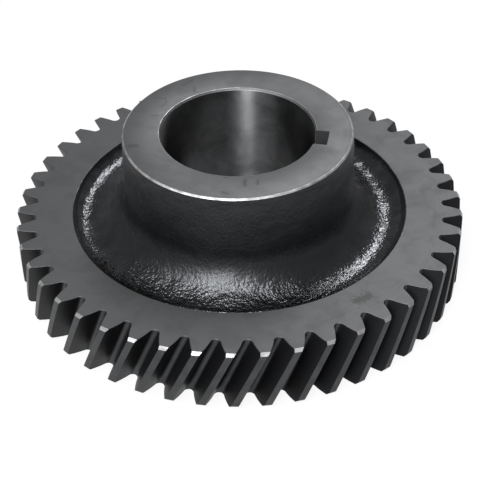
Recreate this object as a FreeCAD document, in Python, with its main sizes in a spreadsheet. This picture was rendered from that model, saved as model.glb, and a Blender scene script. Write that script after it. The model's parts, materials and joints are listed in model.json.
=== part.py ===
"""Helical gear with a tall hub, cut from one forging.

One solid: a turned blank (toothed rim, dished web and hub), a bore with one keyway, and
right-hand involute helical teeth. Lengths are in millimetres and angles in degrees. The
origin is the centre of the bore at the back face, +Z runs along the bore towards the hub's
face, and the keyway opens towards +X.
"""
import FreeCAD, Part
import math
import os

import Sketcher
from FreeCAD import Placement, Rotation, Vector

NODE = "helical_gear"

# ------------------------------------------------------------------------ driving sizes
SIZES = [
    # alias, value, what it is
    ("normal_module", 4.0, "module of the cutter, square to the tooth"),
    ("tooth_count", 46, "number of teeth"),
    ("pressure_angle", 20.0, "pressure angle, square to the tooth"),
    ("helix_angle", 23.0, "helix angle at the pitch circle, right hand"),
    ("addendum", 4.3, "tooth height above the pitch circle"),
    ("dedendum", 5.0, "tooth depth below the pitch circle"),
    ("first_gap_angle", 0.9, "turn of the first tooth gap from the keyway, at the rim's front"),
    ("face_width", 31.2, "thickness of the toothed rim"),
    ("end_chamfer_height", 1.4, "chamfer on the tooth ends, along the axis"),
    ("end_chamfer_depth", 1.1, "chamfer on the tooth ends, towards the axis"),
    ("overall_height", 71.7, "back face to hub face"),
    ("hub_diameter", 105.0, "hub, at its face"),
    ("hub_draft", 2.0, "forging draft of the hub wall"),
    ("hub_chamfer", 0.8, "broken edge of the hub face"),
    ("bore_diameter", 70.0, "shaft bore"),
    ("bore_chamfer", 0.8, "both mouths of the bore"),
    ("keyway_width", 11.0, "keyway, across"),
    ("keyway_depth", 6.2, "keyway, beyond the bore wall"),
    ("groove_diameter", 156.0, "front groove, at the rim's face"),
    ("groove_depth", 5.5, "front groove, below the rim's face"),
    ("groove_draft", 22.0, "slope of the front groove where it meets the rim's face"),
    ("flare_height", 11.2, "start of the hub's flare into the groove, above the rim's face"),
    ("flare_pull", 0.91, "groove curve's pole on the hub's side, in groove depths"),
    ("rim_pull", 1.97, "groove curve's pole on the rim's side, in groove depths"),
    ("recess_hub_diameter", 104.0, "back recess, inner edge"),
    ("recess_rim_diameter", 158.0, "back recess, outer edge"),
    ("recess_depth", 4.0, "back recess, below the back face"),
    ("recess_draft", 20.0, "slope of both walls of the back recess"),
]

doc = FreeCAD.newDocument(NODE)
sheet = doc.addObject("Spreadsheet::Sheet", "sizes")
for row, (alias, value, meaning) in enumerate(SIZES, start=1):
    sheet.set("A%d" % row, meaning)
    sheet.set("B%d" % row, str(value))
    sheet.setAlias("B%d" % row, alias)
doc.recompute()


def size(alias):
    """Value of one driving size, for the shapes that are worked out in code."""
    return float(sheet.get(alias))


# ------------------------------------------------------------- sizes that follow from them
BORE_RADIUS = "sizes.bore_diameter / 2"
HUB_RADIUS = "sizes.hub_diameter / 2"
GROOVE_RADIUS = "sizes.groove_diameter / 2"
RIM_FRONT = "sizes.face_width"
HUB_FRONT = "sizes.overall_height"
TIP_RADIUS = (
    "(sizes.tooth_count * sizes.normal_module / cos(sizes.helix_angle * 1 deg) / 2"
    " + sizes.addendum)"
)


# ------------------------------------------------------------------------ sketch helpers
START, END, CENTRE = range(1, 4)
ORIGIN = (-1, 1)


def new_sketch(body, name, role):
    """Sketch on one of the body's own origin planes."""
    sketch = body.newObject("Sketcher::SketchObject", name)
    plane = next(f for f in body.Origin.OriginFeatures if f.Role == role)
    sketch.AttachmentSupport = [(plane, "")]
    sketch.MapMode = "FlatFace"
    return sketch


def value_of(expression):
    """An expression over the sheet, worked out now, for a first guess."""
    return float(sheet.evalExpression(expression))


def dimension(sketch, kind, where, expression):
    """Add a dimension to the sketch and tie it to an expression over the sheet."""
    index = sketch.addConstraint(Sketcher.Constraint(kind, *where, value_of(expression)))
    sketch.setExpression("Constraints[%d]" % index, expression)


def line(sketch, start, end):
    """Straight line between two points of the sketch plane."""
    return sketch.addGeometry(Part.LineSegment(Vector(*start, 0), Vector(*end, 0)), False)


def fix(sketch, geometry, end, place):
    """Hold one end at a place given as two expressions."""
    across, along = place
    dimension(sketch, "DistanceX", (*ORIGIN, geometry, end), across)
    dimension(sketch, "DistanceY", (*ORIGIN, geometry, end), along)


def run(sketch, corners, held=True):
    """Chain of straight lines through corners that are pairs of expressions."""
    points = [(value_of(x), value_of(y)) for x, y in corners]
    edges = [line(sketch, a, b) for a, b in zip(points, points[1:])]
    for before, after in zip(edges, edges[1:]):
        join(sketch, before, END, after, START)
    if held:
        fix(sketch, edges[0], START, corners[0])
        for edge, corner in zip(edges, corners[1:]):
            fix(sketch, edge, END, corner)
    return edges


def curve(sketch, poles):
    """Cubic curve on four poles, pairs of expressions; the last is where the next edge starts."""
    points = [Vector(value_of(x), value_of(y), 0) for x, y in poles]
    spline = Part.BSplineCurve()
    spline.buildFromPolesMultsKnots(points, [4, 4], [0.0, 1.0], False, 3)
    index = sketch.addGeometry(spline, False)
    for number, (point, place) in enumerate(zip(points, poles)):
        marker = sketch.addGeometry(Part.Circle(point, Vector(0, 0, 1), 1), True)
        sketch.addConstraint(Sketcher.Constraint("Weight", marker, 1.0))
        if place != poles[-1]:
            fix(sketch, marker, CENTRE, place)
        sketch.addConstraint(
            Sketcher.Constraint(
                "InternalAlignment:Sketcher::BSplineControlPoint", marker, CENTRE, index, number
            )
        )
    return index


def join(sketch, first, first_end, second, second_end):
    """Bring two ends together."""
    sketch.addConstraint(Sketcher.Constraint("Coincident", first, first_end, second, second_end))


# ------------------------------------------------------------------------- turned blank
def draw_section(sketch):
    """Half section of the blank: X is the radius and Y the height above the back face."""
    bore_mouth = "%s + sizes.bore_chamfer" % BORE_RADIUS
    rim_corner = "%s - sizes.end_chamfer_depth" % TIP_RADIUS
    recess_slope = "sizes.recess_depth * tan(sizes.recess_draft * 1 deg)"
    edges = run(
        sketch,
        [
            (GROOVE_RADIUS, RIM_FRONT),
            (rim_corner, RIM_FRONT),
            (TIP_RADIUS, "%s - sizes.end_chamfer_height" % RIM_FRONT),
            (TIP_RADIUS, "sizes.end_chamfer_height"),
            (rim_corner, "0"),
            ("sizes.recess_rim_diameter / 2", "0"),
            ("sizes.recess_rim_diameter / 2 - %s" % recess_slope, "sizes.recess_depth"),
            ("sizes.recess_hub_diameter / 2 + %s" % recess_slope, "sizes.recess_depth"),
            ("sizes.recess_hub_diameter / 2", "0"),
            (bore_mouth, "0"),
            (BORE_RADIUS, "sizes.bore_chamfer"),
            (BORE_RADIUS, "%s - sizes.bore_chamfer" % HUB_FRONT),
            (bore_mouth, HUB_FRONT),
            ("%s - sizes.hub_chamfer" % HUB_RADIUS, HUB_FRONT),
            (HUB_RADIUS, "%s - sizes.hub_chamfer" % HUB_FRONT),
        ],
    )
    draw_front_groove(sketch, edges[-1], edges[0])


def draw_front_groove(sketch, hub_edge, rim_face):
    """Drafted hub wall, and one curve that sweeps from it through the groove up to the rim.

    The curve leaves along the hub wall and arrives at the rim's face with the groove's draft.
    """
    wall_top = "%s - sizes.hub_chamfer" % HUB_FRONT

    def on_wall(height):
        """Place on the line of the hub's drafted wall."""
        rise = "(%s - %s) * tan(sizes.hub_draft * 1 deg)" % (wall_top, height)
        return "%s + %s" % (HUB_RADIUS, rise), height

    def below_rim(drop):
        """Place on the line that leaves the rim's edge with the groove's draft."""
        return (
            "%s - %s * tan(sizes.groove_draft * 1 deg)" % (GROOVE_RADIUS, drop),
            "%s - %s" % (RIM_FRONT, drop),
        )

    poles = [
        on_wall("(%s + sizes.flare_height)" % RIM_FRONT),
        on_wall("(%s - sizes.groove_depth * sizes.flare_pull)" % RIM_FRONT),
        below_rim("sizes.groove_depth * sizes.rim_pull"),
        (GROOVE_RADIUS, RIM_FRONT),
    ]
    wall = run(sketch, [(HUB_RADIUS, wall_top), poles[0]], held=False)[0]
    groove = curve(sketch, poles)
    join(sketch, hub_edge, END, wall, START)
    join(sketch, wall, END, groove, START)
    join(sketch, groove, END, rim_face, START)


def draw_keyway(sketch):
    """Plan of the keyway, from the bore's axis out to its floor on +X."""
    floor = "%s + sizes.keyway_depth" % BORE_RADIUS
    low, high = "-sizes.keyway_width / 2", "sizes.keyway_width / 2"
    corners = [("0", low), (floor, low), (floor, high), ("0", high)]
    edges = run(sketch, corners)
    closing = line(sketch, *[(value_of(x), value_of(y)) for x, y in (corners[-1], corners[0])])
    join(sketch, edges[-1], END, closing, START)
    join(sketch, closing, END, edges[0], START)


# --------------------------------------------------------------------------- tooth gaps
def polar(radius, angle, height=0.0):
    return Vector(radius * math.cos(angle), radius * math.sin(angle), height)


def mirrored(point):
    return Vector(point.x, -point.y, point.z)


def spread(low, high, count):
    """Evenly spaced values from low to high."""
    return [low + (high - low) * i / (count - 1) for i in range(count)]


class GapProfile:
    """One tooth gap in the plane square to the axis, centred on +X; its upper flank."""

    def __init__(self):
        teeth = size("tooth_count")
        helix = math.radians(size("helix_angle"))
        pressure = math.atan(math.tan(math.radians(size("pressure_angle"))) / math.cos(helix))
        self.pitch_radius = size("normal_module") / math.cos(helix) * teeth / 2
        self.base_radius = self.pitch_radius * math.cos(pressure)
        self.root_radius = self.pitch_radius - size("dedendum")
        self.tip_radius = self.pitch_radius + size("addendum")
        self.start_angle = math.pi / (2 * teeth) - (math.tan(pressure) - pressure)
        self.twist_per_length = math.tan(helix) / self.pitch_radius

    def half_angle(self, radius):
        """Half the gap's angle at a radius: the involute that leaves the base circle."""
        roll = math.acos(self.base_radius / radius)
        return self.start_angle + math.tan(roll) - roll

    def on_flank(self, radius):
        return polar(radius, self.half_angle(radius))

    def root_centre(self, radius):
        """Where the flank's normal at this radius crosses the middle of the gap.

        A circle about that point, out to the flank, touches both flanks. The normal also
        touches the base circle, which gives its direction.
        """
        touch = self.on_flank(radius)
        roll = math.acos(self.base_radius / radius)
        foot = polar(self.base_radius, self.half_angle(radius) + roll)
        normal = (touch - foot).normalize()
        return touch - normal * (touch.y / normal.y)

    def flank_foot(self):
        """Radius at which the flank gives way to a round root that rests on the root circle."""
        low, high = self.base_radius * 1.000001, self.tip_radius
        while high - low > 1e-9:
            middle = (low + high) / 2
            centre = self.root_centre(middle)
            if centre.x - centre.distanceToPoint(self.on_flank(middle)) < self.root_radius:
                low = middle
            else:
                high = middle
        return low

    def curves(self, reach):
        """Points around the root, and up the flank to a reach beyond the tip."""
        foot = self.flank_foot()
        flank = [self.on_flank(r) for r in spread(foot, self.tip_radius + reach, 3)]
        centre = self.root_centre(foot)
        spoke = flank[0] - centre
        swing = math.atan2(spoke.y, spoke.x)
        around = spread(2 * math.pi - swing, swing, 7)
        return [centre + polar(spoke.Length, angle) for angle in around], flank


def gap_solid():
    """One tooth gap as a solid: its profile carried along the helix between the rim's faces."""
    profile = GapProfile()
    first_turn = math.radians(size("first_gap_angle"))
    heights = spread(0.0, size("face_width"), 4)

    def carried(point, height):
        turn = first_turn + (height - size("face_width")) * profile.twist_per_length
        return polar(math.hypot(point.x, point.y), math.atan2(point.y, point.x) + turn, height)

    def side(points):
        surface = Part.BSplineSurface()
        surface.interpolate([[carried(p, z) for z in heights] for p in points])
        return surface.toShape()

    root, flank = profile.curves(size("end_chamfer_depth"))
    other_flank = [mirrored(p) for p in flank]
    mouth = [flank[-1], other_flank[-1]]
    sides = [side(points) for points in (root, flank, mouth, other_flank)]

    def cap(height):
        outline = [
            edge
            for face in sides
            for edge in face.Edges
            if all(abs(vertex.Z - height) < 1e-6 for vertex in edge.Vertexes)
        ]
        return Part.Face(Part.Wire(Part.__sortEdges__(outline)))

    skin = Part.Compound(sides + [cap(heights[0]), cap(heights[-1])])
    skin.sewShape()
    solid = Part.Solid(skin.Shells[0])
    if solid.Volume < 0:
        solid.reverse()
    return solid


# ------------------------------------------------------------------------------ the gear
blank = doc.addObject("PartDesign::Body", "turned_blank")
half_section = new_sketch(blank, "half_section", "XZ_Plane")
draw_section(half_section)
turning = blank.newObject("PartDesign::Revolution", "turning")
turning.Profile = half_section
turning.ReferenceAxis = (half_section, ["V_Axis"])
turning.Angle = 360

keyway_plan = new_sketch(blank, "keyway_plan", "XY_Plane")
draw_keyway(keyway_plan)
keyway = blank.newObject("PartDesign::Pocket", "keyway")
keyway.Profile = keyway_plan
keyway.Type = "ThroughAll"
keyway.Midplane = True

tooth_gaps = doc.addObject("Part::Feature", "tooth_gaps")
one_gap = gap_solid()
gap_copies = []
for index in range(round(size("tooth_count"))):
    gap_copy = one_gap.copy()
    gap_copy.rotate(Vector(), Vector(0, 0, 1), 360 * index / size("tooth_count"))
    gap_copies.append(gap_copy)
tooth_gaps.Shape = Part.makeCompound(gap_copies)

gear = doc.addObject("Part::Cut", NODE)
gear.Label = NODE
gear.Base = blank
gear.Tool = tooth_gaps
gear.Placement = Placement(Vector(0, 0, 0), Rotation())
doc.recompute()

# -------------------------------------------------------------------- checks and export
for item in doc.Objects:
    if "Invalid" in item.State or "Error" in item.State:
        raise RuntimeError("%s did not recompute: %s" % (item.Label, item.State))
if gear.Shape.isNull() or not gear.Shape.isValid() or len(gear.Shape.Solids) != 1:
    raise RuntimeError("%s is not one valid solid" % gear.Label)

os.makedirs("parts", exist_ok=True)
gear.Shape.Solids[0].exportStep("parts/%s.step" % gear.Label)
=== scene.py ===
"""Dressed model of a helical gear: toothed rim, forged web and hub wall, keyed sleeve.

Laid out as an add-on and run as a script. Lengths are in metres. +Z runs along the bore,
the back face is at z = 0, just above the floor, and the keyway opens towards +X.
"""
import json
import math

import bmesh
import bpy
from bpy.props import FloatProperty, FloatVectorProperty, IntProperty, PointerProperty
from mathutils import Matrix, Vector, noise


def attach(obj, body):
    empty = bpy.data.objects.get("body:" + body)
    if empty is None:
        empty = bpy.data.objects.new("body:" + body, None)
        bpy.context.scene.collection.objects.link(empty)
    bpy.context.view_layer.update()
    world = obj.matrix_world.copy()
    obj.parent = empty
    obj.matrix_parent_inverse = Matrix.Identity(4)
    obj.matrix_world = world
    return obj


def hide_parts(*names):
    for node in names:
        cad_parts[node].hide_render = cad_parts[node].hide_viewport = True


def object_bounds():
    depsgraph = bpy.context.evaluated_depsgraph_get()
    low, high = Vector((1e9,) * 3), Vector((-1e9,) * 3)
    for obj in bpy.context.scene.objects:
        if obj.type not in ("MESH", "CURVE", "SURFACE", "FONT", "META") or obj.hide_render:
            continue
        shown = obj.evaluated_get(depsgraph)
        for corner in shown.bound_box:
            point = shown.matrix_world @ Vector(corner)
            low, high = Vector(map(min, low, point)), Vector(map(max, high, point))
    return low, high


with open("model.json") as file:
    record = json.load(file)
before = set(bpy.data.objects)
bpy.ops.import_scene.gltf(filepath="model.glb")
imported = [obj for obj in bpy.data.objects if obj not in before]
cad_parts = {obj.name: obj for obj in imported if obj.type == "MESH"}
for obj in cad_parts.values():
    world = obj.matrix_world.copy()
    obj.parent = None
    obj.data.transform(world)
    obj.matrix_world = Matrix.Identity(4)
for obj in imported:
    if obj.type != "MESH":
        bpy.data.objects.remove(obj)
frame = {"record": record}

bl_info = {
    "name": "Helical Gear",
    "version": (1, 0, 0),
    "blender": (4, 5, 0),
    "location": "View3D > Sidebar > Gear",
    "description": "Builds a hubbed helical gear, its finishes and its studio",
    "category": "Object",
}

CAD_BOX = [list(corner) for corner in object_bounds()]
MOUNTS = {mount["name"]: mount for mount in frame["record"]["mounts"]}
NODE = frame["record"]["subparts"][0]["node"]
MM = 0.001

ROOT_POINTS = 8  # from the middle of a gap to its flank
FLANK_POINTS = 9  # from the root to the end chamfer
LAND_POINTS = 4  # from the corner of a tooth to its middle
TOOTH_LEVELS = 19  # rows of points along a tooth, end to end
STEPS_PER_TOOTH = 8  # segments of the rim's inner wall and of the web, in one pitch
WEB_STEP = 1.0 * MM  # length of a segment of the web's outline
BORE_POINTS = 343  # round the bore, without the keyway
KEYWAY_POINTS = 15  # across the keyway's floor
BORE_LEVELS = 9  # rows of points down the bore
SHARP_ANGLE = math.radians(32)  # an edge that turns by more than this can be broken
SET_BACK = 1.5 * MM  # from an edge where two pieces meet to the hidden walls behind it
SEAM = 0.02 * MM  # step up from the back face where the web starts
FLOOR_REACH = 6.0  # half the floor's side
FLOOR_GAP = 0.3 * MM  # from the floor up to the back face

# Lamps: name, height angles of the lower and the upper edge, and width as an angle.
LAMPS = (
    ("front", (18, 84), 14),
    ("side", (30, 66), 40),
    ("back", (36, 66), 10),
)

# Marks on the turned faces: start and end of each in millimetres, and its width.
HUB_MARKS = (
    ((-43.8, 20.1), (-38.5, 20.9), 0.5),
    ((-38.5, 20.9), (-36.9, 17.7), 0.5),
    ((-36.9, 17.7), (-38.6, 13.3), 0.5),
    ((-26.9, 32.0), (-26.0, 28.5), 1.2),
    ((-32.9, 33.4), (-29.2, 38.6), 1.0),
    ((-40.7, 5.1), (-36.4, 6.6), 0.6),
    ((-45.4, -20.3), (-42.3, -19.8), 2.6),
    ((10.0, -37.2), (10.9, -41.0), 1.5),
    ((15.5, -36.8), (16.1, -39.5), 1.3),
    ((1.4, -36.8), (2.3, -36.6), 0.8),
    ((2.1, -47.3), (4.9, -48.3), 1.4),
)
RIM_MARKS = (
    ((62.5, -61.0), (67.5, -57.0), 4.2),
    ((60.6, -58.6), (61.5, -58.4), 0.7),
    ((86.0, -50.2), (84.6, -51.0), 0.8),
)


# ------------------------------------------------------------------------------ settings
def length(name, value, description):
    """A length in metres that a user may change."""
    return FloatProperty(
        name=name, description=description, default=value, min=0.0, precision=5, unit="LENGTH"
    )


def turn(name, degrees, description):
    """An angle that a user may change."""
    return FloatProperty(
        name=name, description=description, default=math.radians(degrees), subtype="ANGLE"
    )


def share(name, value, description):
    """A plain factor that a user may change."""
    return FloatProperty(name=name, description=description, default=value, min=0.0)


def shade(name, value, description):
    """A linear colour that a user may change."""
    return FloatVectorProperty(
        name=name, description=description, default=value, subtype="COLOR", min=0.0, max=1.0
    )


class GearSizes(bpy.types.PropertyGroup):
    """Sizes of the gear, the same as the solid's."""

    tooth_count: IntProperty(name="Teeth", description="Number of teeth", default=46, min=12)
    normal_module: length("Normal Module", 4 * MM, "Cutter module, square to the tooth")
    pressure_angle: turn("Pressure Angle", 20, "Square to the tooth")
    helix_angle: turn("Helix Angle", 23, "Right hand, at the pitch circle")
    addendum: length("Addendum", 4.3 * MM, "Tooth height above the pitch circle")
    dedendum: length("Dedendum", 5 * MM, "Tooth depth below the pitch circle")
    first_gap_angle: turn("First Gap", 0.9, "Turn of the first gap from the keyway, in front")
    tooth_chamfer_height: length("Tooth Chamfer Height", 1.4 * MM, "Along the axis")
    tooth_chamfer_depth: length("Tooth Chamfer Depth", 1.1 * MM, "Towards the axis")
    rim_height: length("Rim Height", MOUNTS["rim_face"]["pos_m"][2], "Back face to rim face")
    hub_height: length("Hub Height", CAD_BOX[1][2], "Back face to hub face")
    hub_radius: length("Hub Radius", 52.5 * MM, "Hub wall at its top")
    hub_draft: turn("Hub Draft", 2, "Forging draft of the hub wall")
    hub_chamfer: length("Hub Chamfer", 0.8 * MM, "Broken edge of the hub face")
    bore_radius: length("Bore Radius", MOUNTS["bore"]["dims"]["r_mm"] * MM, "Shaft bore")
    bore_chamfer: length("Bore Chamfer", 0.8 * MM, "Both mouths of the bore")
    keyway_width: length("Keyway Width", 11 * MM, "Across the keyway")
    keyway_depth: length("Keyway Depth", 6.2 * MM, "Beyond the bore wall")
    groove_radius: length("Groove Radius", 78 * MM, "Edge of the front groove")
    groove_depth: length("Groove Depth", 5.5 * MM, "Below the rim face")
    groove_draft: turn("Groove Draft", 22, "Slope of the groove where it meets the rim face")
    flare_height: length("Flare Height", 11.2 * MM, "Start of the flare above the rim face")
    flare_pull: share("Flare Pull", 0.91, "Groove curve's pole at the hub, in groove depths")
    rim_pull: share("Rim Pull", 1.97, "Groove curve's pole at the rim, in groove depths")
    recess_inner: length("Recess Inner Radius", 52 * MM, "Back recess at the hub")
    recess_outer: length("Recess Outer Radius", 79 * MM, "Back recess at the rim")
    recess_depth: length("Recess Depth", 4 * MM, "From the back face into the metal")
    recess_draft: turn("Recess Draft", 20, "Slope of both walls of the back recess")
    edge_break: length("Edge Break", 0.2 * MM, "Deburred tooth edges; 0.7 of it at the hub")
    groove_edge_break: length("Groove Edge Break", 0.4 * MM, "Deburred edge of the groove")
    forge_swell: length("Forge Swell", 0.12 * MM, "Unevenness of the forged skin")


class GearFinish(bpy.types.PropertyGroup):
    """Colours of the gear's finishes."""

    hub_face: shade("Hub Face", (0.13, 0.132, 0.136), "Turned face and inside of the hub")
    rim_face: shade("Rim Face", (0.108, 0.11, 0.114), "Turned faces of the rim")
    # Flank: near black as painted shade, standing for the dark surroundings the flanks reflect.
    # Land: the paler colour that tips and roots keep beside them, painted light.
    flank: shade("Flank", (0.015, 0.0155, 0.017), "Oil-black flanks of the teeth")
    land: shade("Land", (0.066, 0.068, 0.072), "Tips and roots of the teeth")
    forged: shade("Forged", (0.045, 0.0465, 0.049), "Scaled skin of the forging")
    bored: shade("Bored", (0.115, 0.117, 0.121), "Wall of the bore")
    edge: shade("Edge", (0.62, 0.62, 0.63), "Bare metal on deburred edges")
    stain: shade("Stain", (0.06, 0.059, 0.058), "Handling marks on the turned faces")


class GearStudio(bpy.types.PropertyGroup):
    """Camera and lights."""

    azimuth: turn("Azimuth", 11.28, "Camera's turn from the front, to the right")
    elevation: turn("Elevation", 36.95, "Camera's height angle")
    distance: length("Distance", 605.87 * MM, "Camera to the middle of the rim face")
    tilt: turn("Tilt", 1.711, "Camera's aim above that point")
    roll: turn("Roll", 1.224, "Camera's lean")
    focal: share("Focal Length", 96.42, "Millimetres on a 36 mm sensor")
    front_line: turn("Front Line", -95, "Turn of the long box in front, from +X")
    side_line: turn("Side Line", -114, "Turn of the broad box in front, from +X")
    back_line: turn("Back Line", 79, "Turn of the short box behind, from +X")
    lamp_distance: length("Lamp Distance", 1.3, "Middle of the rim face to each lamp")
    front_glow: share("Front Glow", 13.0, "Brightness of the long box in front")
    side_glow: share("Side Glow", 3.6, "Brightness of the broad box in front")
    back_glow: share("Back Glow", 17.0, "Brightness of the short box behind")
    world_level: share("World Level", 0.35, "Light from all round")


# ------------------------------------------------------------------------- node helpers
class Nodes:
    """Short way to add and wire nodes in one tree."""

    def __init__(self, tree):
        self.tree = tree

    def add(self, kind, settings=None, **inputs):
        """Add a node; each input is a value, or a socket to link.

        Inputs called i0, i1 and so on go by their place, all others by their name.
        """
        node = self.tree.nodes.new(kind)
        for name, value in (settings or {}).items():
            setattr(node, name, value)
        for name, value in inputs.items():
            key = int(name[1:]) if name[1:].isdigit() else name.replace("_", " ")
            self.put(node.inputs[key], value)
        return node

    def put(self, socket, value):
        """Give a socket a value or a link."""
        if isinstance(value, bpy.types.NodeSocket):
            self.tree.links.new(value, socket)
        else:
            socket.default_value = value

    def math(self, operation, first, second=0.0, third=0.0):
        """One Math node's result."""
        node = self.add("ShaderNodeMath", {"operation": operation}, i0=first, i1=second, i2=third)
        return node.outputs[0]


def new_group(name, kind, inputs, outputs):
    """Node group with named sockets, and its input and output nodes."""
    group = bpy.data.node_groups.new(name, kind)
    for direction, sockets in (("INPUT", inputs), ("OUTPUT", outputs)):
        for label, socket_type, value in sockets:
            socket = group.interface.new_socket(
                name=label, in_out=direction, socket_type=socket_type
            )
            if value is not None:
                socket.default_value = value
    nodes = Nodes(group)
    return nodes, nodes.add("NodeGroupInput"), nodes.add("NodeGroupOutput")


def blend_colours(nodes, mask, first, second):
    """Colour that goes from the first to the second with a mask."""
    mix = nodes.add("ShaderNodeMix", {"data_type": "RGBA"})
    nodes.put(mix.inputs[0], mask)
    for socket, colour in ((mix.inputs[6], first), (mix.inputs[7], second)):
        nodes.put(socket, (*colour, 1.0) if len(colour) == 3 else colour)
    return mix.outputs[2]


def between(nodes, mask, low, high):
    """Value that goes from low to high with a mask."""
    return nodes.math("MULTIPLY_ADD", mask, high - low, low)


def bump(nodes, metal, height, depth):
    """Raise the surface by a height, as a share of a depth in metres."""
    node = nodes.add("ShaderNodeBump", Strength=1.0, Distance=depth, Height=height)
    nodes.put(metal.inputs["Normal"], node.outputs["Normal"])


def radius_of(nodes):
    """Distance from the bore's axis, and height."""
    place = nodes.add("ShaderNodeTexCoord").outputs["Object"]
    x, y, z = nodes.add("ShaderNodeSeparateXYZ", Vector=place).outputs
    squares = nodes.math("ADD", nodes.math("MULTIPLY", x, x), nodes.math("MULTIPLY", y, y))
    return nodes.math("SQRT", squares), z


def fade(nodes, value, start, end, low, high):
    """Value that goes smoothly from low to high while another goes from start to end."""
    node = nodes.add(
        "ShaderNodeMapRange", {"interpolation_type": "SMOOTHSTEP"},
        Value=value, i1=start, i2=end, i3=low, i4=high,
    )
    return node.outputs[0]


# ---------------------------------------------------------------------- surface effects
def tool_lines_group():
    """Fine lines that a cutting tool leaves, one after another along a distance."""
    nodes, given, result = new_group(
        "gear_tool_lines",
        "ShaderNodeTree",
        [("Distance", "NodeSocketFloat", 0.0), ("Spacing", "NodeSocketFloat", 0.0003)],
        [("Line", "NodeSocketFloat", None)],
    )
    along = nodes.math("DIVIDE", given.outputs["Distance"], given.outputs["Spacing"])
    lines = nodes.add(
        "ShaderNodeTexNoise", {"noise_dimensions": "1D"}, W=along, Scale=1.0, Detail=2.0
    )
    nodes.put(result.inputs["Line"], lines.outputs["Fac"])
    return nodes.tree


def stains_group():
    """Soft-edged marks left by handling and oil."""
    nodes, given, result = new_group(
        "gear_stains",
        "ShaderNodeTree",
        [
            ("Size", "NodeSocketFloat", 0.02),
            ("Cover", "NodeSocketFloat", 0.3),
            ("Softness", "NodeSocketFloat", 0.15),
        ],
        [("Mask", "NodeSocketFloat", None)],
    )
    place = nodes.add("ShaderNodeTexCoord").outputs["Object"]
    scale = nodes.math("DIVIDE", 1.0, given.outputs["Size"])
    cloud = nodes.add(
        "ShaderNodeTexNoise", Vector=place, Scale=scale, Detail=4.0, Roughness=0.6, Distortion=0.4
    )
    # The level of the noise at a mark's edge falls from 0.72 to 0.22 as the cover grows to 1.
    middle = nodes.math("SUBTRACT", 0.72, nodes.math("MULTIPLY", given.outputs["Cover"], 0.5))
    low = nodes.math("SUBTRACT", middle, given.outputs["Softness"])
    high = nodes.math("ADD", middle, given.outputs["Softness"])
    nodes.put(result.inputs["Mask"], fade(nodes, cloud.outputs["Fac"], low, high, 0.0, 1.0))
    return nodes.tree


def forge_skin_group():
    """Pebbled skin of a shot-blasted forging: a height, and a tone for its colour."""
    nodes, given, result = new_group(
        "gear_forge_skin",
        "ShaderNodeTree",
        [("Pebble", "NodeSocketFloat", 0.0014)],
        [("Height", "NodeSocketFloat", None), ("Tone", "NodeSocketFloat", None)],
    )
    place = nodes.add("ShaderNodeTexCoord").outputs["Object"]
    scale = nodes.math("DIVIDE", 1.0, given.outputs["Pebble"])
    pebbles = nodes.add("ShaderNodeTexNoise", Vector=place, Scale=scale, Detail=2.0, Roughness=0.55)
    broad = nodes.add(
        "ShaderNodeTexNoise", Vector=place, Scale=nodes.math("MULTIPLY", scale, 0.22), Detail=3.0
    )
    broad_weight = 1.6
    height = nodes.math("MULTIPLY_ADD", broad.outputs["Fac"], broad_weight, pebbles.outputs["Fac"])
    average = 0.5 * (1.0 + broad_weight)
    nodes.put(result.inputs["Height"], nodes.math("SUBTRACT", height, average))
    nodes.put(result.inputs["Tone"], broad.outputs["Fac"])
    return nodes.tree


def scratch_group():
    """One mark along a line between two points, with a ragged edge."""
    nodes, given, result = new_group(
        "gear_scratch",
        "ShaderNodeTree",
        [
            ("Start", "NodeSocketVector", (0.0, 0.0, 0.0)),
            ("End", "NodeSocketVector", (0.01, 0.0, 0.0)),
            ("Width", "NodeSocketFloat", 0.001),
        ],
        [("Mask", "NodeSocketFloat", None)],
    )

    def vector(operation, *inputs):
        """Vector Math node on up to two inputs."""
        pairs = {"i%d" % place: value for place, value in enumerate(inputs)}
        return nodes.add("ShaderNodeVectorMath", {"operation": operation}, **pairs)

    place = nodes.add("ShaderNodeTexCoord").outputs["Object"]
    reach = vector("SUBTRACT", given.outputs["End"], given.outputs["Start"]).outputs[0]
    away = vector("SUBTRACT", place, given.outputs["Start"]).outputs[0]
    share_along = nodes.add(
        "ShaderNodeMath", {"operation": "DIVIDE", "use_clamp": True},
        i0=vector("DOT_PRODUCT", away, reach).outputs["Value"],
        i1=vector("DOT_PRODUCT", reach, reach).outputs["Value"],
    ).outputs[0]
    along = nodes.add("ShaderNodeVectorMath", {"operation": "SCALE"}, i0=reach, Scale=share_along)
    gap = vector("DISTANCE", away, along.outputs[0]).outputs["Value"]
    # The noise makes the mark between nothing and about twice its width.
    ragged = nodes.add("ShaderNodeTexNoise", Vector=place, Scale=600.0, Detail=3.0).outputs["Fac"]
    edge = nodes.math("MULTIPLY", given.outputs["Width"], between(nodes, ragged, -0.8, 2.8))
    nodes.put(result.inputs["Mask"], fade(nodes, gap, 0.0, edge, 1.0, 0.0))
    return nodes.tree


# ---------------------------------------------------------------------------- finishes
def group_node(nodes, tree, **inputs):
    """Place a shared group in a material."""
    return nodes.add("ShaderNodeGroup", {"node_tree": tree}, **inputs)


def new_finish(name, **sockets):
    """Metal material with its Principled BSDF, whose constants are set on its own sockets."""
    material = bpy.data.materials.new(name)
    material.use_nodes = True
    nodes = Nodes(material.node_tree)
    metal = material.node_tree.nodes["Principled BSDF"]
    metal.inputs["Metallic"].default_value = 1.0
    for socket, value in sockets.items():
        metal.inputs[socket.replace("_", " ")].default_value = value
    return material, nodes, metal


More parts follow.
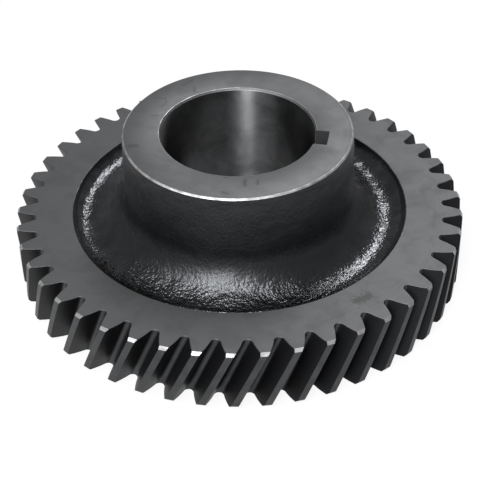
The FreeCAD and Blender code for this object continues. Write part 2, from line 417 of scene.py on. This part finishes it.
def turned_finish(name, colours, groups, marks, face_height):
    """Lathe-turned face: rings round the axis, faint handling marks, a few scratches.

    The name is also that of its colour. The scratches lie at the height of the face.
    """
    material, nodes, metal = new_finish(name)
    radius, _ = radius_of(nodes)
    ring = group_node(nodes, groups["lines"], Distance=radius, Spacing=0.7 * MM).outputs["Line"]
    cloud = group_node(nodes, groups["stains"], Size=13 * MM, Cover=0.3, Softness=0.18)
    cloud_strength, scratch_strength = 0.35, 0.6
    mark = nodes.math("MULTIPLY", cloud.outputs["Mask"], cloud_strength)
    for start, end, width in marks:
        one = group_node(
            nodes, groups["scratch"], Start=(start[0] * MM, start[1] * MM, face_height),
            End=(end[0] * MM, end[1] * MM, face_height), Width=width * MM,
        )
        scratch = nodes.math("MULTIPLY", one.outputs["Mask"], scratch_strength)
        mark = nodes.math("MAXIMUM", mark, scratch)
    clean = getattr(colours, name)
    nodes.put(metal.inputs["Base Color"], blend_colours(nodes, mark, clean, colours.stain))
    rough = nodes.math("ADD", between(nodes, ring, 0.54, 0.62), nodes.math("MULTIPLY", mark, 0.1))
    nodes.put(metal.inputs["Roughness"], rough)
    bump(nodes, metal, ring, 0.012 * MM)
    return material


def flank_finish(colours, sizes, groups):
    """Hobbed teeth: feed marks along the axis, flanks near black as painted shade, lands and roots
    paler as painted light, dulled where oil film lies.
    """
    material, nodes, metal = new_finish("hobbed_steel", Metallic=0.8, Specular_IOR_Level=0.3)
    radius, height = radius_of(nodes)
    form = ToothForm(sizes)
    feed = group_node(nodes, groups["lines"], Distance=height, Spacing=1.1 * MM).outputs["Line"]
    film = group_node(nodes, groups["stains"], Size=9 * MM, Cover=0.5, Softness=0.2).outputs["Mask"]
    land_depth, root_height = 0.15 * MM, 0.45 * MM
    land = nodes.math("GREATER_THAN", radius, form.tip - land_depth)
    root = nodes.math("LESS_THAN", radius, form.root + root_height)
    # Lands and roots take the paler colour as painted light and the flanks keep the near-black
    # painted shade; patches of oil film dull the lands and roots.
    lit_lands_roots_and_oil_film = nodes.math("MULTIPLY", nodes.math("ADD", land, root), between(nodes, film, 1.0, 0.65))
    nodes.put(metal.inputs["Base Color"], blend_colours(nodes, lit_lands_roots_and_oil_film, colours.flank, colours.land))
    nodes.put(metal.inputs["Roughness"], between(nodes, feed, 0.42, 0.56))
    bump(nodes, metal, feed, 0.02 * MM)
    return material


def forged_finish(colours, groups):
    """As-forged skin: dark scale, smooth on the hub wall and crinkled in the groove.

    The crinkles are deepest in front of the hub and calm down towards the groove's edge.
    """
    material, nodes, metal = new_finish("forged_steel", Metallic=0.97)
    radius, _ = radius_of(nodes)
    place = nodes.add("ShaderNodeTexCoord").outputs["Object"]
    across = nodes.add("ShaderNodeSeparateXYZ", Vector=place).outputs["Y"]
    in_groove = fade(nodes, radius, 54 * MM, 67 * MM, 0.0, 1.0)
    off_edge = fade(nodes, radius, 73 * MM, 76.5 * MM, 1.0, 0.25)
    front = fade(nodes, across, -65 * MM, -30 * MM, 1.25, 0.5)
    pebble = group_node(nodes, groups["skin"], Pebble=1.5 * MM)
    patches = group_node(nodes, groups["stains"], Size=12 * MM, Cover=0.45, Softness=0.2)
    bright = tuple(2.4 * channel for channel in colours.forged)
    tone = nodes.math("SUBTRACT", 1.0, patches.outputs["Mask"])
    tone = nodes.math("MULTIPLY", nodes.math("MULTIPLY", pebble.outputs["Tone"], tone), in_groove)
    nodes.put(metal.inputs["Base Color"], blend_colours(nodes, tone, colours.forged, bright))
    rough = between(nodes, pebble.outputs["Tone"], 0.14, 0.22)
    smooth_wall = nodes.math("MULTIPLY", nodes.math("SUBTRACT", 1.0, in_groove), 0.2)
    nodes.put(metal.inputs["Roughness"], nodes.math("ADD", rough, smooth_wall))
    relief = nodes.math("MULTIPLY", between(nodes, in_groove, 0.2, 1.0), front)
    relief = nodes.math("MULTIPLY", relief, off_edge)
    bump(nodes, metal, nodes.math("MULTIPLY", pebble.outputs["Height"], relief), 0.7 * MM)
    return material


def bored_finish(colours, groups):
    """Bored wall: rings along the axis that stretch each highlight up and down."""
    material, nodes, metal = new_finish("bored_steel", Anisotropic=1.0, Anisotropic_Rotation=0.25)
    _, height = radius_of(nodes)
    ring = group_node(nodes, groups["lines"], Distance=height, Spacing=0.6 * MM).outputs["Line"]
    mark = group_node(nodes, groups["stains"], Size=16 * MM, Cover=0.4, Softness=0.2)
    mark = mark.outputs["Mask"]
    dark = tuple(0.5 * channel for channel in colours.bored)
    nodes.put(metal.inputs["Base Color"], blend_colours(nodes, mark, colours.bored, dark))
    nodes.put(metal.inputs["Roughness"], between(nodes, ring, 0.37, 0.43))
    around = nodes.add("ShaderNodeTangent", {"direction_type": "RADIAL", "axis": "Z"})
    nodes.put(metal.inputs["Tangent"], around.outputs[0])
    bump(nodes, metal, ring, 0.015 * MM)
    return material


def edge_finish(colours, groups):
    """Bare metal where an edge was broken."""
    material, nodes, metal = new_finish("deburred_steel")
    wear = group_node(nodes, groups["stains"], Size=6 * MM, Cover=0.5, Softness=0.25)
    wear = wear.outputs["Mask"]
    dull = tuple(0.35 * channel for channel in colours.edge)
    nodes.put(metal.inputs["Base Color"], blend_colours(nodes, wear, colours.edge, dull))
    nodes.put(metal.inputs["Roughness"], between(nodes, wear, 0.42, 0.58))
    return material


def finish(name):
    """A finish by name; the first call makes them all."""
    if name not in bpy.data.materials:
        colours, sizes = bpy.context.scene.gear_finish, bpy.context.scene.gear_sizes
        groups = {
            "lines": tool_lines_group(),
            "stains": stains_group(),
            "skin": forge_skin_group(),
            "scratch": scratch_group(),
        }
        turned_finish("hub_face", colours, groups, HUB_MARKS, sizes.hub_height)
        turned_finish("rim_face", colours, groups, RIM_MARKS, sizes.rim_height)
        flank_finish(colours, sizes, groups)
        forged_finish(colours, groups)
        bored_finish(colours, groups)
        edge_finish(colours, groups)
    return bpy.data.materials[name]


# ------------------------------------------------------------------------- mesh helpers
def spread(low, high, count):
    """Evenly spaced values from low to high."""
    return [low + (high - low) * i / (count - 1) for i in range(count)]


def polar(radius, angle, height=0.0):
    """Point at a radius, an angle from +X and a height."""
    return Vector((radius * math.cos(angle), radius * math.sin(angle), height))


def new_piece(name, mesh, *finishes):
    """Object for a mesh, with its finishes in order."""
    piece = bpy.data.objects.new(name, mesh)
    bpy.context.scene.collection.objects.link(piece)
    for material in finishes:
        mesh.materials.append(material)
    return piece


def settle(piece):
    """Turn a piece and its modifiers into one plain mesh."""
    settled = bpy.data.meshes.new_from_object(
        piece.evaluated_get(bpy.context.evaluated_depsgraph_get())
    )
    settled.name = piece.name
    piece.modifiers.clear()
    piece.data = settled


def break_edges(piece, width, edge_slot, limit="ANGLE"):
    """Bevel the sharp or the weighted edges into narrow facets.

    They take the finish in the given slot, or that of the faces beside them if it is -1.
    """
    bevel = piece.modifiers.new("edge_break", "BEVEL")
    bevel.width = width
    bevel.segments = 1
    bevel.limit_method = limit
    bevel.angle_limit = SHARP_ANGLE
    bevel.material = edge_slot
    settle(piece)


def round_shading(mesh, degrees=28):
    """Smooth shading, kept sharp where faces meet at more than an angle."""
    mesh.polygons.foreach_set("use_smooth", [True] * len(mesh.polygons))
    mesh.set_sharp_from_angle(angle=math.radians(degrees))


def keep(piece):
    """Make a finished piece part of the gear, in place of the plain solid."""
    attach(piece, "root")
    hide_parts(NODE)


# ------------------------------------------------------------------------- toothed rim
class ToothForm:
    """Involute tooth form in the plane square to the axis."""

    def __init__(self, sizes):
        pressure = math.atan(math.tan(sizes.pressure_angle) / math.cos(sizes.helix_angle))
        self.half_pitch = math.pi / sizes.tooth_count
        self.pitch = sizes.normal_module / math.cos(sizes.helix_angle) * sizes.tooth_count / 2
        self.base = self.pitch * math.cos(pressure)
        self.root = self.pitch - sizes.dedendum
        self.tip = self.pitch + sizes.addendum
        # Half the angle of a gap at the base circle, and the helix's turn per metre of height.
        self.start = self.half_pitch / 2 - (math.tan(pressure) - pressure)
        self.twist = math.tan(sizes.helix_angle) / self.pitch

    def half_angle(self, radius):
        """Half the angle of a gap at a radius."""
        roll = math.acos(self.base / radius)
        return self.start + math.tan(roll) - roll

    def root_centre(self, radius):
        """Where the flank's normal at a radius crosses the middle of the gap."""
        angle = self.half_angle(radius)
        touch = polar(radius, angle)
        foot = polar(self.base, angle + math.acos(self.base / radius))
        normal = (touch - foot).normalized()
        return touch - normal * (touch.y / normal.y), touch

    def flank_foot(self):
        """Radius at which the flank gives way to the round root, found by halving."""
        low, high = self.base * 1.00001, self.tip
        for _ in range(60):
            middle = (low + high) / 2
            centre, touch = self.root_centre(middle)
            if centre.x - (touch - centre).length < self.root:
                low = middle
            else:
                high = middle
        return low

    def outline(self, crest):
        """Half of one pitch, from the middle of a gap to the middle of a tooth.

        Each entry is radius, angle and the name of what it belongs to. The flank has a
        point at the crest, the radius where the end chamfer starts.
        """
        foot = self.flank_foot()
        centre, touch = self.root_centre(foot)
        spoke = touch - centre
        swing = math.atan2(spoke.y, spoke.x)
        half = []
        for angle in spread(math.pi, swing, ROOT_POINTS)[:-1]:
            point = centre + polar(spoke.length, angle)
            half.append((point.length, math.atan2(point.y, point.x), "root"))
        half[0] = (half[0][0], 0.0, "root")
        half += [(r, self.half_angle(r), "flank") for r in spread(foot, crest, FLANK_POINTS)]
        tip_angle = self.half_angle(self.tip)
        half.append((self.tip, tip_angle, "tip"))
        land_angles = spread(tip_angle, self.half_pitch, LAND_POINTS)[1:]
        half += [(self.tip, angle, "land") for angle in land_angles]
        return half


def tooth_sector(sizes, form):
    """Mesh of one pitch of the rim, not yet wound, from the inner wall to the teeth."""
    crest = form.tip - sizes.tooth_chamfer_depth
    slope = sizes.tooth_chamfer_height / sizes.tooth_chamfer_depth
    top = sizes.rim_height
    half = form.outline(crest)
    outline = [(r, -a, kind) for r, a, kind in reversed(half[1:])] + half
    crest_angle, tip_angle = form.half_angle(crest), form.half_angle(form.tip)
    # A tooth is wider at the crest circle than at its tip, by this factor.
    widening = (form.half_pitch - crest_angle) / (form.half_pitch - tip_angle)

    mesh = bmesh.new()
    is_flank = mesh.faces.layers.bool.new("flank")
    is_facet = mesh.faces.layers.bool.new("facet")

    def face(vertices, layer=None):
        """Add a face, and mark it in one of the layers."""
        made = mesh.faces.new(vertices)
        if layer is not None:
            made[layer] = True

    levels = spread(0.0, 1.0, TOOTH_LEVELS)
    wall = []
    for radius, angle, _ in outline:
        inset = max(0.0, radius - crest) * slope
        wall.append([
            mesh.verts.new(polar(radius, angle, inset + (top - 2 * inset) * t)) for t in levels
        ])
    for one, other in zip(wall, wall[1:]):
        for low in range(len(levels) - 1):
            face((one[low], other[low], other[low + 1], one[low + 1]), is_flank)

    inner_angles = spread(-form.half_pitch, form.half_pitch, STEPS_PER_TOOTH + 1)
    inner_wall = [
        (sizes.groove_radius, top),
        (sizes.groove_radius + SET_BACK, top - 2 * SET_BACK),
        (sizes.groove_radius + SET_BACK, 2 * SET_BACK),
        (sizes.recess_outer, 0.0),
    ]
    rings = [[mesh.verts.new(polar(r, a, z)) for a in inner_angles] for r, z in inner_wall]
    for upper, lower in zip(rings, rings[1:]):
        for index in range(len(inner_angles) - 1):
            face((upper[index], upper[index + 1], lower[index + 1], lower[index]))

    # Each end: the chamfers of two half teeth, and the flat face from there to the inner wall.
    for level, height, ring, flip in ((-1, top, rings[0], False), (0, 0.0, rings[-1], True)):
        border, chamfer = [], []
        for (radius, angle, kind), column in zip(outline, wall):
            if kind == "land":
                side = math.copysign(form.half_pitch, angle)
                corner = mesh.verts.new(polar(crest, side - (side - angle) * widening, height))
                border.append(corner)
                chamfer.append((column[level], corner))
            elif kind == "tip":
                chamfer.append((column[level], None))
            else:
                border.append(column[level])
        flanks = [column[level] for (_, _, kind), column in zip(outline, wall) if kind == "flank"]
        middle = len(chamfer) // 2
        sides = ((chamfer[:middle], flanks[0]), (chamfer[middle:], flanks[-1]))
        for chain, crest_vertex in sides:
            chain = [(outer, corner or crest_vertex) for outer, corner in chain]
            for (outer_a, inner_a), (outer_b, inner_b) in zip(chain, chain[1:]):
                corners = (outer_a, outer_b, inner_b, inner_a)
                face(corners[::-1] if flip else corners, is_facet)
        plane = border + ring[::-1]
        face(plane[::-1] if flip else plane)

    sector = bpy.data.meshes.new("tooth_sector")
    mesh.to_mesh(sector)
    mesh.free()
    return sector


def ring_of_teeth_tree():
    """Geometry tree: one pitch repeated round the axis, joined, and wound into a helix."""
    nodes, given, result = new_group(
        "gear_ring_of_teeth",
        "GeometryNodeTree",
        [
            ("Geometry", "NodeSocketGeometry", None),
            ("Teeth", "NodeSocketInt", 46),
            ("First Gap", "NodeSocketFloat", 0.0),
            ("Twist", "NodeSocketFloat", 0.0),
            ("Front", "NodeSocketFloat", 0.03),
            ("Turned Finish", "NodeSocketMaterial", None),
            ("Flank Finish", "NodeSocketMaterial", None),
            ("Facet Finish", "NodeSocketMaterial", None),
        ],
        [("Geometry", "NodeSocketGeometry", None)],
    )
    pitch = nodes.math("DIVIDE", math.tau, given.outputs["Teeth"])
    index = nodes.add("GeometryNodeInputIndex").outputs[0]
    step = nodes.math("MULTIPLY_ADD", index, pitch, given.outputs["First Gap"])
    turned = nodes.add("ShaderNodeCombineXYZ", Z=step)
    points = nodes.add("GeometryNodePoints", Count=given.outputs["Teeth"])
    copies = nodes.add(
        "GeometryNodeInstanceOnPoints",
        Points=points.outputs[0],
        Instance=given.outputs["Geometry"],
        Rotation=turned.outputs[0],
    )
    ring = nodes.add("GeometryNodeRealizeInstances", Geometry=copies.outputs[0])
    joined = nodes.add("GeometryNodeMergeByDistance", Geometry=ring.outputs[0], Distance=2e-6)
    place = nodes.add("GeometryNodeInputPosition").outputs[0]
    height = nodes.add("ShaderNodeSeparateXYZ", Vector=place).outputs["Z"]
    winding = nodes.math(
        "MULTIPLY", nodes.math("SUBTRACT", height, given.outputs["Front"]), given.outputs["Twist"]
    )
    wound = nodes.add(
        "ShaderNodeVectorRotate", {"rotation_type": "Z_AXIS"}, Vector=place, Angle=winding
    )
    helix = nodes.add(
        "GeometryNodeSetPosition", Geometry=joined.outputs[0], Position=wound.outputs[0]
    )
    dressed = nodes.add(
        "GeometryNodeSetMaterial",
        Geometry=helix.outputs[0],
        Material=given.outputs["Turned Finish"],
    )
    for name in ("flank", "facet"):
        chosen = nodes.add(
            "GeometryNodeInputNamedAttribute", {"data_type": "BOOLEAN"}, Name=name
        )
        dressed = nodes.add(
            "GeometryNodeSetMaterial",
            Geometry=dressed.outputs[0],
            Selection=chosen.outputs[0],
            Material=given.outputs[name.title() + " Finish"],
        )
    nodes.put(result.inputs[0], dressed.outputs[0])
    return nodes.tree


def use_tree(piece, tree, **values):
    """Add a geometry tree to a piece and set its inputs by their identifiers."""
    modifier = piece.modifiers.new(tree.name, "NODES")
    modifier.node_group = tree
    for item in tree.interface.items_tree:
        key = item.name.replace(" ", "_").lower()
        if item.item_type == "SOCKET" and item.in_out == "INPUT" and key in values:
            modifier[item.identifier] = values[key]


def mark_rim_edges(data, sizes, inner):
    """Weight the edges to be broken: the groove's edge if inner, or else the tooth outlines."""
    mesh = bmesh.new()
    mesh.from_mesh(data)
    weights = mesh.edges.layers.float
    weight = weights.get("bevel_weight_edge") or weights.new("bevel_weight_edge")
    flank = mesh.faces.layers.bool["flank"]
    ends = (0.0, sizes.rim_height)
    for edge in mesh.edges:
        on_face = all(min(abs(v.co.z - end) for end in ends) < 1e-6 for v in edge.verts)
        sharp = edge.calc_face_angle(0.0) > SHARP_ANGLE
        if inner:
            chosen = max(abs(v.co.xy.length - sizes.groove_radius) for v in edge.verts) < 0.1 * MM
        else:
            chosen = any(made[flank] for made in edge.link_faces)
        edge[weight] = float(on_face and sharp and chosen)
    mesh.to_mesh(data)
    mesh.free()


class GEAR_OT_toothed_rim(bpy.types.Operator):
    """Make the flat toothed rim from one pitch of its teeth"""

    bl_idname = "gear.toothed_rim"
    bl_label = "Toothed Rim"

    def execute(self, context):
        sizes = context.scene.gear_sizes
        form = ToothForm(sizes)
        rim = new_piece("toothed_rim", tooth_sector(sizes, form))
        use_tree(
            rim,
            ring_of_teeth_tree(),
            teeth=sizes.tooth_count,
            first_gap=sizes.first_gap_angle,
            twist=form.twist,
            front=sizes.rim_height,
            turned_finish=finish("rim_face"),
            flank_finish=finish("hobbed_steel"),
            facet_finish=finish("deburred_steel"),
        )
        settle(rim)
        bright = rim.data.materials.find("deburred_steel")
        mark_rim_edges(rim.data, sizes, True)
        break_edges(rim, sizes.groove_edge_break, bright, "WEIGHT")
        mark_rim_edges(rim.data, sizes, False)
        break_edges(rim, sizes.edge_break, -1, "WEIGHT")
        round_shading(rim.data, 15)
        keep(rim)
        return {"FINISHED"}


# ----------------------------------------------------------------------- forged web
def revolve(profile, steps):
    """Closed mesh of a closed outline of (radius, height) turned round the axis.

    The normals are turned outwards, whichever way the outline runs.
    """
    mesh = bmesh.new()
    rings = []
    for index in range(steps):
        angle = math.tau * index / steps
        rings.append([mesh.verts.new(polar(r, angle, z)) for r, z in profile])
    for one, other in zip(rings, rings[1:] + rings[:1]):
        for index in range(len(profile)):
            after = (index + 1) % len(profile)
            mesh.faces.new((one[index], one[after], other[after], other[index]))
    bmesh.ops.recalc_face_normals(mesh, faces=mesh.faces)
    return mesh


def fine_line(start, end, step):
    """Points from start towards end, about a step apart, without the end."""
    count = max(1, round(math.dist(start, end) / step))
    return [
        tuple(a + (b - a) * i / count for a, b in zip(start, end)) for i in range(count)
    ]


def fine_curve(poles, step):
    """Points along a cubic curve on four poles, about a step apart, without the last pole."""
    reach = sum(math.dist(a, b) for a, b in zip(poles, poles[1:]))
    count = max(2, round(reach / step))
    points = []
    for t in (i / count for i in range(count)):
        weights = ((1 - t) ** 3, 3 * (1 - t) ** 2 * t, 3 * (1 - t) * t**2, t**3)
        points.append(tuple(sum(w * p[k] for w, p in zip(weights, poles)) for k in (0, 1)))
    return points


def web_profile(sizes, step):
    """Outline of the forged part: hub wall, the sweep through the groove, and the back recess."""
    hub_top = sizes.hub_height - sizes.hub_chamfer

    def on_wall(height):
        """Point of the hub wall at a height."""
        return sizes.hub_radius + (hub_top - height) * math.tan(sizes.hub_draft), height

    def below_rim(drop):
        """Point of the groove's outer slope at a drop below the rim face."""
        return sizes.groove_radius - drop * math.tan(sizes.groove_draft), sizes.rim_height - drop

    poles = [
        on_wall(sizes.rim_height + sizes.flare_height),
        on_wall(sizes.rim_height - sizes.groove_depth * sizes.flare_pull),
        below_rim(sizes.groove_depth * sizes.rim_pull),
        below_rim(sizes.edge_break),
    ]
    line = fine_line(on_wall(hub_top), poles[0], step) + fine_curve(poles, step)
    hidden_out = sizes.recess_outer + SET_BACK
    line += [poles[-1], (hidden_out, poles[-1][1] - 1.2 * MM), (hidden_out, SET_BACK)]
    slope = sizes.recess_depth * math.tan(sizes.recess_draft)
    recess = [
        (sizes.recess_outer, SEAM),
        (sizes.recess_outer - slope, sizes.recess_depth),
        (sizes.recess_inner + slope, sizes.recess_depth),
        (sizes.recess_inner, SEAM),
    ]
    for one, other in zip(recess, recess[1:]):
        line += fine_line(one, other, step)
    hidden_in = sizes.recess_inner - SET_BACK
    line += [recess[-1], (hidden_in, SET_BACK), (hidden_in, hub_top - SET_BACK)]
    return line


def swell(mesh, sizes):
    """Uneven forged skin: push each point along its normal, less within 3 mm of the edges."""
    mesh.normal_update()
    edges = (
        (sizes.hub_radius, sizes.hub_height - sizes.hub_chamfer),
        (sizes.groove_radius, sizes.rim_height),
        (sizes.recess_outer, 0.0),
        (sizes.recess_inner, 0.0),
    )
    moves = []
    for vertex in mesh.verts:
        radius = math.hypot(vertex.co.x, vertex.co.y)
        room = min(math.dist((radius, vertex.co.z), edge) for edge in edges)
        calm = min(1.0, room / (3 * MM)) ** 2
        lumps = noise.noise(vertex.co / (14 * MM)) + 0.6 * noise.noise(vertex.co / (5 * MM))
        moves.append(vertex.normal * lumps * calm * sizes.forge_swell)
    for vertex, move in zip(mesh.verts, moves):
        vertex.co += move


class GEAR_OT_forged_web(bpy.types.Operator):
    """Make the forged web: hub wall, flare, groove and back recess"""

    bl_idname = "gear.forged_web"
    bl_label = "Forged Web"

    def execute(self, context):
        sizes = context.scene.gear_sizes
        mesh = revolve(web_profile(sizes, WEB_STEP), sizes.tooth_count * STEPS_PER_TOOTH)
        swell(mesh, sizes)
        data = bpy.data.meshes.new("forged_web")
        mesh.to_mesh(data)
        mesh.free()
        web = new_piece("forged_web", data, finish("forged_steel"))
        round_shading(data, 35)
        keep(web)
        return {"FINISHED"}


# --------------------------------------------------------------------------- hub sleeve
def keyed_loop(sizes, bore, height):
    """Bore outline with its keyway: the round wall, then the keyway's floor."""
    half = sizes.keyway_width / 2
    floor = sizes.bore_radius + sizes.keyway_depth
    edge = math.asin(half / bore)
    loop = [polar(bore, angle, height) for angle in spread(edge, math.tau - edge, BORE_POINTS)]
    return loop + [Vector((floor, y, height)) for y in spread(-half, half, KEYWAY_POINTS)]


def outer_loop(inner, radius, height):
    """Circle whose points face those of the keyed outline."""
    return [polar(radius, math.atan2(point.y, point.x), height) for point in inner]


class GEAR_OT_hub_sleeve(bpy.types.Operator):
    """Make the machined inside of the hub: its faces, bore and keyway"""

    bl_idname = "gear.hub_sleeve"
    bl_label = "Hub Sleeve"

    def execute(self, context):
        sizes = context.scene.gear_sizes
        top, chamfer = sizes.hub_height, sizes.bore_chamfer
        mouth = sizes.bore_radius + chamfer
        wall = keyed_loop(sizes, sizes.bore_radius, 0.0)
        hidden = sizes.hub_radius - 0.9 * MM
        hub_edge = top - sizes.hub_chamfer
        levels = spread(chamfer, top - chamfer, BORE_LEVELS)
        loops = [keyed_loop(sizes, mouth, 0.0)]
        loops += [keyed_loop(sizes, sizes.bore_radius, level) for level in levels]
        loops.append(keyed_loop(sizes, mouth, top))
        bored_strips = range(1, len(levels))
        edge_strip = len(loops)
        # Outside: the hub face and its edge, hidden walls behind the forging, the lower face.
        loops += [
            outer_loop(wall, radius, height)
            for radius, height in (
                (sizes.hub_radius - sizes.hub_chamfer, top),
                (sizes.hub_radius, hub_edge),
                (hidden, hub_edge - 0.4 * MM),
                (hidden, 1.2 * MM),
                (sizes.recess_inner, SEAM),
                (sizes.recess_inner - 0.1 * MM, 0.0),
            )
        ]
        mesh = bmesh.new()
        rings = [[mesh.verts.new(point) for point in loop] for loop in loops]
        for strip, (one, other) in enumerate(zip(rings, rings[1:] + rings[:1])):
            for index in range(len(one)):
                after = (index + 1) % len(one)
                quad = mesh.faces.new((one[index], one[after], other[after], other[index]))
                if strip in bored_strips and index < BORE_POINTS - 1:
                    quad.material_index = 1
                elif strip == edge_strip:
                    quad.material_index = 2
        bmesh.ops.recalc_face_normals(mesh, faces=mesh.faces)
        data = bpy.data.meshes.new("hub_sleeve")
        mesh.to_mesh(data)
        mesh.free()
        finishes = [finish(name) for name in ("hub_face", "bored_steel", "deburred_steel")]
        sleeve = new_piece("hub_sleeve", data, *finishes)
        hub_share = 0.7
        break_edges(sleeve, sizes.edge_break * hub_share, 2)
        round_shading(sleeve.data)
        keep(sleeve)
        return {"FINISHED"}


# ------------------------------------------------------------------------------ studio
def floor_finish(name, colour):
    """White floor that stays white to the camera and in reflections, and keeps its shadow.

    It is clear from below, so that the underside can be looked at.
    """
    material = bpy.data.materials.new(name)
    material.use_nodes = True
    material.node_tree.nodes.clear()
    nodes = Nodes(material.node_tree)
    path = nodes.add("ShaderNodeLightPath")
    seen = nodes.math("MAXIMUM", path.outputs["Is Camera Ray"], path.outputs["Is Glossy Ray"])
    seen = nodes.math("MAXIMUM", seen, path.outputs["Is Transmission Ray"])
    paint = nodes.add("ShaderNodeBsdfDiffuse", Color=colour)
    glow = nodes.add("ShaderNodeEmission", Color=(1, 1, 1, 1), Strength=1.0)
    glow_share = nodes.math("MULTIPLY", seen, 0.9)
    mix = nodes.add("ShaderNodeMixShader", i0=glow_share, i1=paint.outputs[0], i2=glow.outputs[0])
    below = nodes.add("ShaderNodeNewGeometry").outputs["Backfacing"]
    clear = nodes.add("ShaderNodeBsdfTransparent")
    sided = nodes.add("ShaderNodeMixShader", i0=below, i1=mix.outputs[0], i2=clear.outputs[0])
    nodes.add("ShaderNodeOutputMaterial", Surface=sided.outputs[0])
    return material


def aim(location, target):
    """Turn that points a lamp from one place at another."""
    return (target - location).to_track_quat("-Z", "Y").to_euler()


def softbox(name, target, distance, line, heights, width, glow):
    """Rectangular lamp seen from a target between two height angles, and as wide as an angle."""
    low, high = (math.radians(height) for height in heights)
    height = (low + high) / 2
    way = Vector((
        math.cos(line) * math.cos(height), math.sin(line) * math.cos(height), math.sin(height)
    ))
    lamp = bpy.data.lights.new(name, "AREA")
    lamp.shape = "RECTANGLE"
    lamp.size = 2 * distance * math.tan(math.radians(width) / 2)
    lamp.size_y = 2 * distance * math.tan((high - low) / 2)
    lamp.energy = glow * math.pi * lamp.size * lamp.size_y
    box = bpy.data.objects.new(name, lamp)
    bpy.context.scene.collection.objects.link(box)
    box.location = target + way * distance
    box.rotation_euler = aim(box.location, target)


class GEAR_OT_studio(bpy.types.Operator):
    """Set out the floor, the lights and the camera"""

    bl_idname = "gear.studio"
    bl_label = "Studio"

    def execute(self, context):
        scene, studio = context.scene, context.scene.gear_studio
        mesh = bpy.data.meshes.new("floor")
        signs = ((-1, -1), (1, -1), (1, 1), (-1, 1))
        corners = [(FLOOR_REACH * x, FLOOR_REACH * y, -FLOOR_GAP) for x, y in signs]
        mesh.from_pydata(corners, [], [(0, 1, 2, 3)])
        floor = new_piece("floor", mesh, floor_finish("floor_paint", (0.7, 0.7, 0.7, 1)))

        middle = Vector((0, 0, scene.gear_sizes.rim_height))
        for name, heights, width in LAMPS:
            line, glow = getattr(studio, name + "_line"), getattr(studio, name + "_glow")
            softbox(name + "_box", middle, studio.lamp_distance, line, heights, width, glow)

        world = bpy.data.worlds.new("studio_air")
        scene.world = world
        world.use_nodes = True
        air = world.node_tree.nodes["Background"]
        air.inputs["Color"].default_value = (1, 1, 1, 1)
        air.inputs["Strength"].default_value = studio.world_level

        front = Matrix.Rotation(studio.azimuth, 3, "Z")
        back = front @ Vector((0, -math.cos(studio.elevation), math.sin(studio.elevation)))
        right = front @ Vector((1, 0, 0))
        level = Matrix((right, back.cross(right), back)).transposed()
        lean = Matrix.Rotation(-studio.tilt, 3, "X") @ Matrix.Rotation(-studio.roll, 3, "Z")
        lens = bpy.data.cameras.new("camera")
        lens.lens = studio.focal
        lens.sensor_width = 36
        camera = bpy.data.objects.new("camera", lens)
        scene.collection.objects.link(camera)
        place = Matrix.Translation(middle + back * studio.distance)
        camera.matrix_world = place @ (level @ lean).to_4x4()
        scene.camera = camera
        scene.view_settings.view_transform = "Standard"
        return {"FINISHED"}


# ------------------------------------------------------------------------------- panel
class GEAR_PT_panel(bpy.types.Panel):
    """Gear pieces, finishes and studio"""

    bl_label = "Helical Gear"
    bl_idname = "GEAR_PT_panel"
    bl_space_type = "VIEW_3D"
    bl_region_type = "UI"
    bl_category = "Gear"

    def draw(self, context):
        for operator in OPERATORS:
            self.layout.operator(operator.bl_idname)
        for group in SETTINGS:
            settings = getattr(context.scene, group)
            box = self.layout.box()
            for name in settings.__annotations__:
                box.prop(settings, name)


SETTINGS = {"gear_sizes": GearSizes, "gear_finish": GearFinish, "gear_studio": GearStudio}
OPERATORS = (GEAR_OT_toothed_rim, GEAR_OT_forged_web, GEAR_OT_hub_sleeve, GEAR_OT_studio)
CLASSES = (*SETTINGS.values(), *OPERATORS, GEAR_PT_panel)


def register():
    """Add the classes, and the settings to the scene."""
    for cls in CLASSES:
        bpy.utils.register_class(cls)
    for name, group in SETTINGS.items():
        setattr(bpy.types.Scene, name, PointerProperty(type=group))


def unregister():
    """Take the settings and the classes out again."""
    for name in SETTINGS:
        delattr(bpy.types.Scene, name)
    for cls in reversed(CLASSES):
        bpy.utils.unregister_class(cls)


def main():
    """Build and dress the gear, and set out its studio."""
    register()
    bpy.ops.gear.toothed_rim()
    bpy.ops.gear.forged_web()
    bpy.ops.gear.hub_sleeve()
    bpy.ops.gear.studio()


if __name__ == "__main__":
    main()
